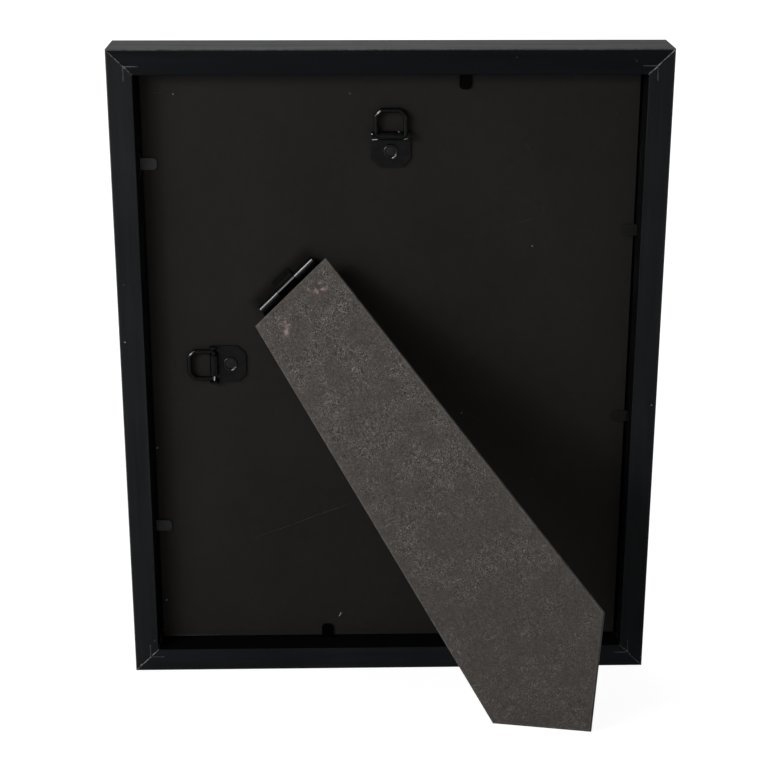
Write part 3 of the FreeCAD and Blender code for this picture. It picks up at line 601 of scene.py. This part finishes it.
def makeRivetTree():
    # a rolled rim round a dished middle, one on each point of the seed
    tree, ins, outs = newGrowth("rolledRivets", {"Rim radius": 0.0025, "Rim roll": 0.0006,
                                                 "Lie": "NodeSocketRotation"})
    circle = shape(tree, "CurvePrimitiveCircle", {"Radius": ins["Rim radius"], "Resolution": 64})
    roll = shape(tree, "CurvePrimitiveCircle", {"Radius": ins["Rim roll"], "Resolution": 18})
    rim = shape(tree, "CurveToMesh", {"Curve": circle, "Profile Curve": roll})
    dish = shape(tree, "MeshUVSphere", {"Segments": 40, "Rings": 14, "Radius": ins["Rim radius"]})
    flat = shape(tree, "Transform", {"Geometry": dish, "Scale": (0.94, 0.94, 0.12)})
    spots = shape(tree, "MeshToPoints", {"Mesh": ins["Geometry"]})
    there = shape(tree, "InstanceOnPoints", {"Points": spots, "Instance": joined(tree, rim, flat),
                                             "Rotation": ins["Lie"]})
    return endGrowth(tree, ins, outs, there)


wireTree = makeWireTree()
scratchTree = makeScratchTree()
dustTree = makeDustTree()
rivetTree = makeRivetTree()
faceTurn = Matrix((rightAxis, upAxis, outAxis)).transposed().to_euler()
print("node trees made")


def rework(mesh, change):
    work = bmesh.new()
    work.from_mesh(mesh)
    change(work)
    work.to_mesh(mesh)
    work.free()


def mergeFlats(work):
    bmesh.ops.remove_doubles(work, verts=work.verts, dist=2e-6)
    bmesh.ops.dissolve_limit(work, angle_limit=math.radians(1.5), verts=work.verts, edges=work.edges)


def cutAcross(work, place, normal, **options):
    every = work.verts[:] + work.edges[:] + work.faces[:]
    bmesh.ops.bisect_plane(work, geom=every, plane_co=place, plane_no=normal, **options)


def softCopy(name, node, width, material, body):
    # the CAD node's own shape with its sharp edges eased
    mesh = nodes[node].data.copy()
    mesh.name = name
    rework(mesh, mergeFlats)
    mesh.materials.clear()
    mesh.materials.append(material)
    piece = addPiece(name, mesh, body)
    ease = piece.modifiers.new("ease", "BEVEL")
    ease.width = width * mm
    ease.segments = 2
    ease.limit_method = "ANGLE"
    ease.angle_limit = math.radians(40)
    mesh.shade_smooth()
    piece.modifiers.new("facing", "WEIGHTED_NORMAL").keep_sharp = False
    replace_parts(piece, node)
    return piece


def recolour(mesh, material, chosen):
    # the chosen faces get a further material
    mesh.materials.append(material)
    for face in mesh.polygons:
        if chosen(face.center):
            face.material_index = len(mesh.materials) - 1


def nearLine(place, axis, radius):
    # whether a point lies within radius of the line through place
    return lambda point: ((point - place) - axis * (point - place).dot(axis)).length < radius * mm


# The easel leg: a board wrapped in paper. Places on it are millimetres along the hinge pin
# and down from it; its outline and faces come from the CAD node. Each rub is a place and a radius.
legLook = {"cell": 1.0, "round": 0.5, "linerInset": 3.0, "linerRise": 0.12,
           "bumpHeight": 0.3, "bumpRadius": 3.3, "bumpAlong": 10.0, "bumpDown": 9.2,
           "rubs": [(-10.6, 12.4, 2.8), (-11.6, 17.0, 2.6), (-9.6, 14.8, 1.8), (11.0, 13.4, 4.2),
                    (8.2, 9.6, 2.4)]}


def sidesOf(corners):
    # each side's first corner and the way straight out of it
    for a, b in zip(corners, corners[1:] + corners[:1]):
        along = (b - a).normalized()
        yield a, Vector((along.y, -along.x))


def offSide(point, corner, out):
    away = point - corner
    return abs(away.x * out.x + away.y * out.y)


def pushBoth(one, two):
    # the move that takes a corner straight out of both its sides by one
    return (one + two) / (1 + one.dot(two))


def measureLeg():
    # the board's own normal is the one across which its points spread least
    points = [v.co - hingeSpot for v in nodes["easel_leg"].data.vertices]
    best = None
    for tenth in range(-900, 901):
        normal = Matrix.Rotation(math.radians(tenth / 10), 3, hingeAxis) @ outAxis
        levels = [p.dot(normal) for p in points]
        if best is None or max(levels) - min(levels) < best[0]:
            best = (max(levels) - min(levels), normal, max(levels) / mm, min(levels) / mm)
    _, normal, front, back = best
    down = hingeAxis.cross(normal).normalized()
    if sum(p.dot(down) for p in points) < 0:
        down.negate()
    flat = [Vector((p.dot(hingeAxis), p.dot(down))) / mm for p in points]
    hull = [flat[i] for i in convex_hull_2d(flat)]
    # a corner is where the outline turns; points closer than this are one
    tooClose, straight = 0.5, math.radians(177)
    corners = []
    for i, corner in enumerate(hull):
        before, after = hull[i - 1] - corner, hull[(i + 1) % len(hull)] - corner
        if before.length > tooClose and (after.length < tooClose or before.angle(after) < straight):
            corners.append(corner)
    if sum(a.x * b.y - b.x * a.y for a, b in zip(corners, corners[1:] + corners[:1])) < 0:
        corners.reverse()
    return normal, down, front, back, corners


legNormal, legDown, legFront, legBack, legCorners = measureLeg()


def onLeg(along, down, height):
    return hingeSpot + (hingeAxis * along + legDown * down + legNormal * height) * mm


def outlineGrid(corners, cell):
    # a flat grid trimmed to a convex outline: points, faces, and the rim in order
    work = bmesh.new()
    low = [min(c[k] for c in corners) for k in (0, 1)]
    high = [max(c[k] for c in corners) for k in (0, 1)]
    wide, tall = [int(math.ceil((high[k] - low[k]) / cell)) + 2 for k in (0, 1)]
    rows = [[work.verts.new((low[0] + (i - 0.5) * cell, low[1] + (j - 0.5) * cell, 0)) for i in range(wide)]
            for j in range(tall)]
    for j in range(tall - 1):
        for i in range(wide - 1):
            work.faces.new((rows[j][i], rows[j][i + 1], rows[j + 1][i + 1], rows[j + 1][i]))
    for corner, out in sidesOf(corners):
        cutAcross(work, (corner.x, corner.y, 0), (out.x, out.y, 0), clear_outer=True, dist=1e-4)
    bmesh.ops.remove_doubles(work, verts=work.verts, dist=0.05)
    work.verts.index_update()
    following = {}
    for edge in work.edges:
        if len(edge.link_faces) == 1:
            loop = edge.link_loops[0]
            following[loop.vert.index] = loop.link_loop_next.vert.index
    start = next(iter(following))
    rim = [start]
    while following[rim[-1]] != start:
        rim.append(following[rim[-1]])
    points = [Vector((v.co.x, v.co.y)) for v in work.verts]
    faces = [[v.index for v in f.verts] for f in work.faces]
    work.free()
    return points, faces, rim


def rimDistance(point, corners):
    return min(offSide(point, corner, out) for corner, out in sidesOf(corners))


def outwardAt(point, corners):
    # the point is on the outline, give or take this much
    onLine = 0.06
    pushes = [out for corner, out in sidesOf(corners) if offSide(point, corner, out) < onLine]
    return pushes[0] if len(pushes) == 1 else pushBoth(pushes[0], pushes[1])


def dome(p, along, down, radius, power):
    far = math.hypot(p.x - along, p.y - down) / radius
    return max(0.0, 1 - far * far) ** power


def makeLegBoard():
    look, thick, bevel = legLook, legFront - legBack, legLook["round"]
    ways = [out for _, out in sidesOf(legCorners)]
    inner = [corner - pushBoth(ways[i - 1], ways[i]) * bevel for i, corner in enumerate(legCorners)]
    points, faces, rim = outlineGrid(inner, look["cell"])
    verts, shares, rubs, downs = [], [], [], []

    def addVertex(p, depth, distance, rub=0.0):
        verts.append(onLeg(p.x, p.y, legFront - depth))
        shares.append(distance)
        rubs.append(rub)
        downs.append(p.y)
        return len(verts) - 1

    bumps = [(side * look["bumpAlong"], look["bumpDown"], look["bumpRadius"]) for side in (-1, 1)]
    for p in points:
        lift = look["bumpHeight"] * max(dome(p, *bump, 2) for bump in bumps)
        addVertex(p, -lift, rimDistance(p, legCorners), max(dome(p, *rub, 1.5) for rub in look["rubs"]))
    polygons = [list(f) for f in faces]
    last = list(rim)

    def closeRound(ring):
        for k in range(len(rim)):
            n = (k + 1) % len(rim)
            polygons.append([last[n], last[k], ring[k], ring[n]])

    # the rounded front edge, the side and the rounded back edge
    pushes = [outwardAt(points[i], inner) for i in rim]
    turns = [math.radians(a) for a in (30, 60, 90)]
    steps = [(bevel * math.sin(a), bevel * (1 - math.cos(a))) for a in turns]
    steps += [(grow, thick - depth) for grow, depth in reversed(steps)]
    for grow, depth in steps:
        ring = [addVertex(points[i] + push * grow, depth, bevel - grow) for i, push in zip(rim, pushes)]
        closeRound(ring)
        last = ring
    # the back, with the liner's paper raised a little inside the turned-in edge
    back = []
    for p in points:
        far = rimDistance(p, legCorners)
        back.append(addVertex(p, thick + (look["linerRise"] if far > look["linerInset"] else 0.0), far))
    closeRound([back[i] for i in rim])
    polygons += [[back[i] for i in reversed(f)] for f in faces]
    mesh = newMesh("legBoard", verts, [], polygons)
    mesh.update()
    rework(mesh, lambda work: bmesh.ops.recalc_face_normals(work, faces=work.faces))
    for label, values in {"rimDistance": shares, "rivetRub": rubs, "downLeg": downs}.items():
        mesh.attributes.new(label, "FLOAT", "POINT").data.foreach_set("value", values)
    mesh.shade_smooth()
    mesh.materials.append(legPaper)
    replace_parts(addPiece("legBoard", mesh, "easel_leg"), "easel_leg")


makeLegBoard()
print("leg board made")

# Ring hangers: wire loops with clipped far corners, dimpled rivets, and plates with eased edges.
# For each, the way its bar runs and the way its loop reaches.
hangers = {"top": (rightAxis, upAxis), "side": (upAxis, -rightAxis)}
hangerLook = {"wire": 1.0, "sides": 24, "half": 6.1, "reach": 10.5, "corner": 2.4, "bend": 0.9,
              "rimRadius": 2.55, "rimRoll": 0.58, "rivetSink": 0.02,
              "plate": 0.8, "ease": 0.09, "curlRise": 6.8, "curl": 1.95}


def makeHanger(which, across, towards):
    look = hangerLook
    pivot = Vector(jointOf["ring_" + which]["pos_m"])
    half, far, clip = look["half"], look["reach"], look["corner"]
    outline = [(-half, 0), (half, 0), (half, far - clip), (half - clip, far), (clip - half, far),
               (-half, far - clip)]
    path = lineMesh([pivot + (across * x + towards * y) * mm for x, y in outline], closed=True)
    name = "ring" + which.title()
    ring = runTree(wireTree, name, path, {"Wire radius": look["wire"] * mm, "Bend radius": look["bend"] * mm,
                                          "Sides": look["sides"], "Material": wireEnamel})
    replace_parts(addPiece(name, ring, "ring_" + which), "hanger_ring_" + which)
    plate = softCopy("plate" + which.title(), "hanger_plate_" + which, look["ease"], dullEnamel, "frame")
    recolour(plate.data, wireEnamel, nearLine(pivot, across, look["curl"]))
    # the rivet's foot on the plate
    foot = pivot - towards * look["curlRise"] * mm
    top = (boardFace + look["plate"] - look["rivetSink"]) * mm
    return foot + outAxis * (top - (foot - faceMiddle).dot(outAxis))


feet = {which: makeHanger(which, *ways) for which, ways in hangers.items()}
rivets = runTree(rivetTree, "hangerRivets", lineMesh(list(feet.values())),
                 {"Rim radius": hangerLook["rimRadius"] * mm, "Rim roll": hangerLook["rimRoll"] * mm,
                  "Lie": faceTurn, "Material": blackEnamel})
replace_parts(addPiece("hangerRivets", rivets, "frame"), "hanger_rivet_top", "hanger_rivet_side")
print("hangers made")

# Hinge leaves and flex points with eased edges: the barrel glossy, the leaf behind it in the dark tone of
# painted shade.
hingeLook = {"ease": 0.08, "barrel": 2.0, "line": 0.6}
for name, node, body in (("hingeLeafBoard", "hinge_leaf_backer", "frame"),
                         ("hingeLeafLeg", "hinge_leaf_leg", "easel_leg")):
    leaf = softCopy(name, node, hingeLook["ease"], leafBlack, body).data
    rework(leaf, lambda work: cutAcross(work, onLeg(0, hingeLook["line"], 0), legDown))
    recolour(leaf, blackEnamel, nearLine(hingeSpot, hingeAxis, hingeLook["barrel"]))
    # painted shade: the leaf beyond the barrel takes the dark tone of the shade beside the barrel
    recolour(leaf, leafShadeTone, lambda point: (point - hingeSpot).dot(legDown) < -hingeLook["barrel"] * mm)
bladeLook = {"ease": 0.1, "shortened": 0.15}
# each flex point's painted tone of light or shade, and the way inward
blades = {"left_upper": (bladeLitGrey, rightAxis), "left_lower": (bladeLitGrey, rightAxis),
          "right_upper": (bladeShadedBrown, -rightAxis), "right_lower": (bladeShadedBrown, -rightAxis),
          "top": (bladeShadedBlack, -upAxis), "bottom": (bladeShadedBlack, upAxis)}
for place, (finish, inward) in blades.items():
    node = "flex_point_" + place
    blade = softCopy("blade" + place.title().replace("_", ""), node, bladeLook["ease"], finish, node)
    root = reach(node, inward, min)
    for v in blade.data.vertices:
        v.co -= inward * (v.co.dot(inward) - root) * bladeLook["shortened"]
print("hinge and flex points made")

# Dust, scratches and rubbed spots, and painted highlights on the hangers, placed right and up from the middle
# of the frame's back.
wearAndGlintLook = {
    "boardHalf": (98.0, 123.0), "perSquareMetre": 1500.0,
    "dustSize": 0.22, "boardSpeckSize": 0.55, "railSpeckSize": 0.5,
    "boardSpecks": [(-88.2, 119.4), (-55.5, 127.0), (-100.9, -35.3), (-68.9, 30.5), (59.4, 54.9),
                    (44.1, 25.0), (-13.6, -104.8), (-22.2, -117.2), (-99.8, -108.8), (31.0, -20.0)],
    "railSpecks": [(-110.6, 41.6), (-110.9, 53.2), (-111.3, 16.5), (111.6, -13.2)],
    # each scratch's points and its width
    "scratches": {
        "long": ([(-61.8, -79.2), (-46.2, -73.5), (-30.7, -67.3), (-15.3, -61.7)], 0.17),
        "high": ([(-97.5, 119.4), (-95.0, 120.1), (-92.2, 120.3)], 0.2),
        "short": ([(55.2, 99.3), (56.2, 97.6), (57.3, 95.5)], 0.15),
        "tick": ([(63.7, 72.6), (63.9, 69.6)], 0.1),
        "faint": ([(47.8, 63.2), (56.1, 65.8), (64.4, 68.3)], 0.09),
    },
    # painted highlights, pale steel strokes on the hangers where glints fall: right, up and out of each end,
    # and the width
    "curlWear": [((-7.9, 101.1, -6.1), (-5.3, 101.3, -5.75), 0.6),
                 ((-7.9, 103.8, -6.3), (-7.5, 103.0, -5.95), 0.6),
                 ((5.3, 101.3, -5.85), (7.0, 101.5, -5.9), 0.45),
                 ((2.8, 104.7, -5.66), (3.6, 104.1, -5.66), 0.6),
                 ((-74.9, -3.0, -5.75), (-74.7, -0.9, -5.7), 0.8)],
    # painted highlights on each loop's clipped corner: along the bar, away from it and out from the bar's
    # middle
    "loopGlint": {"top": [(-6.05, 8.7, 0.93), (-5.2, 9.55, 0.96), (-4.15, 10.6, 0.93)],
                 "side": [(6.05, 8.9, 0.93), (5.3, 9.6, 0.96), (4.7, 10.2, 0.93)]},
    "loopGlintWidth": 0.85,
    # painted highlight: an arc on the lower right of each rivet's rim
    "rimGlint": {"degrees": range(-84, -18, 6), "radius": 2.72, "rise": 0.5, "width": 0.6},
    "boardEdge": [(-100.3, -126.6), (-88.0, -126.7), (-76.5, -126.6)],
    "boardCrumb": [(-23.0, -117.9), (-22.2, -117.3), (-21.7, -115.7)],
    # each chipped line's points, its width and how broken it is
    "chips": {
        "topRight": ([(102.9, 128.8), (106.0, 131.6), (113.2, 138.6)], 0.36, 0.2),
        "bottomLeft": ([(-113.2, -138.6), (-109.0, -134.4), (-103.4, -128.9)], 0.44, 0.9),
        "bottomLeftSpot": ([(-111.6, -136.4), (-110.6, -135.6)], 0.6, 0.0),
        "bottomRight": ([(104.0, -129.4), (107.5, -132.0), (108.2, -133.6), (113.0, -138.3)], 0.44, 0.9),
        "topLeft": ([(-113.0, 138.4), (-108.6, 134.2), (-103.6, 129.3)], 0.34, 0.9),
        "stray": ([(96.8, 135.5), (98.0, 134.2), (99.4, 132.5)], 0.14, 0.3),
        "tick": ([(-104.8, -124.6), (-104.6, -123.4)], 0.3, 0.0),
    },
    # the spacing and the waver of chips and painted highlights
    "closeStep": 0.3, "steady": 0.05,
}


def addDust(name, seedMesh, material, size, seed, values):
    values = {"Material": material, "Lie": faceTurn, "Size": size * mm, "Seed": seed, **values}
    addPiece(name, runTree(dustTree, name, seedMesh, values), "frame")


def marksAt(points, out):
    return lineMesh([spot(x, y, out) for x, y in points])


patch = [spot(x * wearAndGlintLook["boardHalf"][0], y * wearAndGlintLook["boardHalf"][1], boardFace)
         for x, y in ((-1, -1), (1, -1), (1, 1), (-1, 1))]
addDust("boardDust", newMesh("patch", patch, [], [(0, 1, 2, 3)]), dustGrey,
        wearAndGlintLook["dustSize"], 11, {"Flakes per square metre": wearAndGlintLook["perSquareMetre"]})
addDust("boardSpecks", marksAt(wearAndGlintLook["boardSpecks"], boardFace), dustPale,
        wearAndGlintLook["boardSpeckSize"], 4, {"On points": True})
addDust("railSpecks", marksAt(wearAndGlintLook["railSpecks"], 0.0), dustPale,
        wearAndGlintLook["railSpeckSize"], 9, {"On points": True})


def addScratch(name, seedMesh, material, body, width, seed, values):
    values = {"Material": material, "Width": width * mm, "Seed": seed, **values}
    addPiece(name, runTree(scratchTree, name, seedMesh, values), body)


def scratchBoard(name, points, material, width, seed):
    addScratch(name, marksAt(points, boardFace), material, "frame", width, seed, {})


# painted highlight: a pale steel stroke that stands for a glint
def drawGlint(name, points, body, width, seed):
    addScratch(name, lineMesh(points), paintedGlintSteel, body, width, seed,
               {"Step": wearAndGlintLook["closeStep"] * mm, "Waver": wearAndGlintLook["steady"] * mm})


for number, (name, (points, width)) in enumerate(wearAndGlintLook["scratches"].items()):
    scratchBoard("scratch" + name.title(), points, scuffBrown, width, float(number))
scratchBoard("boardEdgeRub", wearAndGlintLook["boardEdge"], scuffBrown, 0.3, 8.0)
scratchBoard("boardCrumb", wearAndGlintLook["boardCrumb"], dustPale, 0.9, 9.0)
for number, (start, end, width) in enumerate(wearAndGlintLook["curlWear"]):
    drawGlint("curlWear%d" % number, [spot(*start), spot(*end)], "frame", width, 40.0 + number)
for which, (across, towards) in hangers.items():
    pivot = Vector(jointOf["ring_" + which]["pos_m"])
    loop = [pivot + (across * x + towards * y + outAxis * z) * mm for x, y, z in wearAndGlintLook["loopGlint"][which]]
    drawGlint("loopGlint" + which.title(), loop, "ring_" + which, wearAndGlintLook["loopGlintWidth"], 50.0)
    # painted highlight: an arc round the rivet's rim
    rim, arc = wearAndGlintLook["rimGlint"], []
    for a in (math.radians(degrees) for degrees in rim["degrees"]):
        side = (rightAxis * math.cos(a) + upAxis * math.sin(a)) * rim["radius"]
        arc.append(feet[which] + (side + outAxis * rim["rise"]) * mm)
    drawGlint("rimGlint" + which.title(), arc, "frame", rim["width"], 52.0)
for number, (name, (points, width, broken)) in enumerate(wearAndGlintLook["chips"].items()):
    addScratch("chip" + name[0].upper() + name[1:], marksAt(points, 0.0), chipPale, "frame",
               width, 20.0 + number, {"Step": wearAndGlintLook["closeStep"] * mm, "Broken": broken})
print("dust and scratches made")

# camera and light
cameraLook = {"lens": 78.0166, "sensor": 36, "shift": -0.07746, "nearest": 0.02,
              "place": (17.767, 708.689, 151.057), "turn": (90.0548, 0.3181, 178.5916)}
cameraData = bpy.data.cameras.new("backView")
cameraData.lens = cameraLook["lens"]
cameraData.sensor_width = cameraLook["sensor"]
cameraData.shift_y = cameraLook["shift"]
cameraData.clip_start = cameraLook["nearest"]
camera = putInScene("backView", cameraData)
camera.location = Vector(cameraLook["place"]) * mm
camera.rotation_euler = [math.radians(a) for a in cameraLook["turn"]]
bpy.context.scene.camera = camera
bpy.context.scene.view_settings.view_transform = "Standard"


def softLamp(name, place, aim, size, power):
    data = bpy.data.lights.new(name, "AREA")
    data.shape = "RECTANGLE"
    data.size, data.size_y = size
    data.energy = power
    lamp = putInScene(name, data)
    lamp.location = place
    lamp.rotation_euler = (Vector(aim) - Vector(place)).to_track_quat("-Z", "Y").to_euler()
    lamp.visible_camera = False


middle = (0, 0, 0.13)
lampSetup = {"key": {"place": (0.77, 0.75, 0.27), "aim": middle, "size": (0.8, 0.46), "power": 9.8},
             "spark": {"place": (0.74, 0.72, 0.33), "aim": middle, "size": (0.12, 0.12), "power": 2.2},
             "top": {"place": (0.2, -0.3, 1.6), "aim": middle, "size": (1.2, 1.2), "power": 8},
             "backdrop": {"place": (0, -0.9, 1.5), "aim": (0, -2.2, 1.4), "size": (1.6, 1.0), "power": 16}}
for name, lamp in lampSetup.items():
    softLamp(name, **lamp)


def showWhite(tree, plain, white, share, output):
    # the camera and clear glass see white, all other light meets the plain shader
    path = addNode(tree, "ShaderNodeLightPath").outputs
    seen = maths(tree, "MAXIMUM", path["Is Camera Ray"], path["Is Transmission Ray"])
    mixed = addNode(tree, "ShaderNodeMixShader", {"Fac": times(tree, seen, share), 1: plain, 2: white})
    tree.links.new(mixed.outputs[0], tree.nodes[output].inputs["Surface"])


# the soft fill light of the room
roomLook = {"fill": rgb(0.9, 0.92, 0.95), "fillStrength": 0.3}
world = bpy.data.worlds.new("studio")
world.use_nodes = True
bpy.context.scene.world = world
sky = world.node_tree
fill = addNode(sky, "ShaderNodeBackground", {"Color": roomLook["fill"], "Strength": roomLook["fillStrength"]})
beyond = addNode(sky, "ShaderNodeBackground", {"Color": rgb(1, 1, 1), "Strength": 1.0})
showWhite(sky, fill.outputs[0], beyond.outputs[0], 1.0, "World Output")


def paleFloor():
    # one sheet: floor, a rounded cove and a wall behind, in metres
    look = {"tone": rgb(0.85, 0.85, 0.85), "rough": 0.9, "specular": 0.1, "glow": 1.3, "glowShare": 0.7,
            "half": 4.0, "front": 4.0, "back": -1.6, "cove": 0.6, "coveSteps": 12, "wallTop": 3.2}
    material, tree, _ = newMaterial("paleFloor", look["specular"], {"Base Color": look["tone"],
                                                                    "Roughness": look["rough"]})
    white = addNode(tree, "ShaderNodeEmission", {"Color": rgb(1, 1, 1), "Strength": look["glow"]}).outputs[0]
    showWhite(tree, tree.nodes["Principled BSDF"].outputs[0], white, look["glowShare"], "Material Output")
    rows = [(look["front"], 0.0)]
    for i in range(look["coveSteps"] + 1):
        a = math.radians(90 * i / look["coveSteps"])
        rows.append((look["back"] - look["cove"] * math.sin(a), look["cove"] - look["cove"] * math.cos(a)))
    rows.append((look["back"] - look["cove"], look["wallTop"]))
    verts = [(x, y, z) for y, z in rows for x in (-look["half"], look["half"])]
    faces = [(2 * i, 2 * i + 1, 2 * i + 3, 2 * i + 2) for i in range(len(rows) - 1)]
    mesh = newMesh("paleFloor", verts, [], faces)
    mesh.shade_smooth()
    mesh.materials.append(material)
    putInScene("paleFloor", mesh)


paleFloor()
print("camera, lamps and floor set")
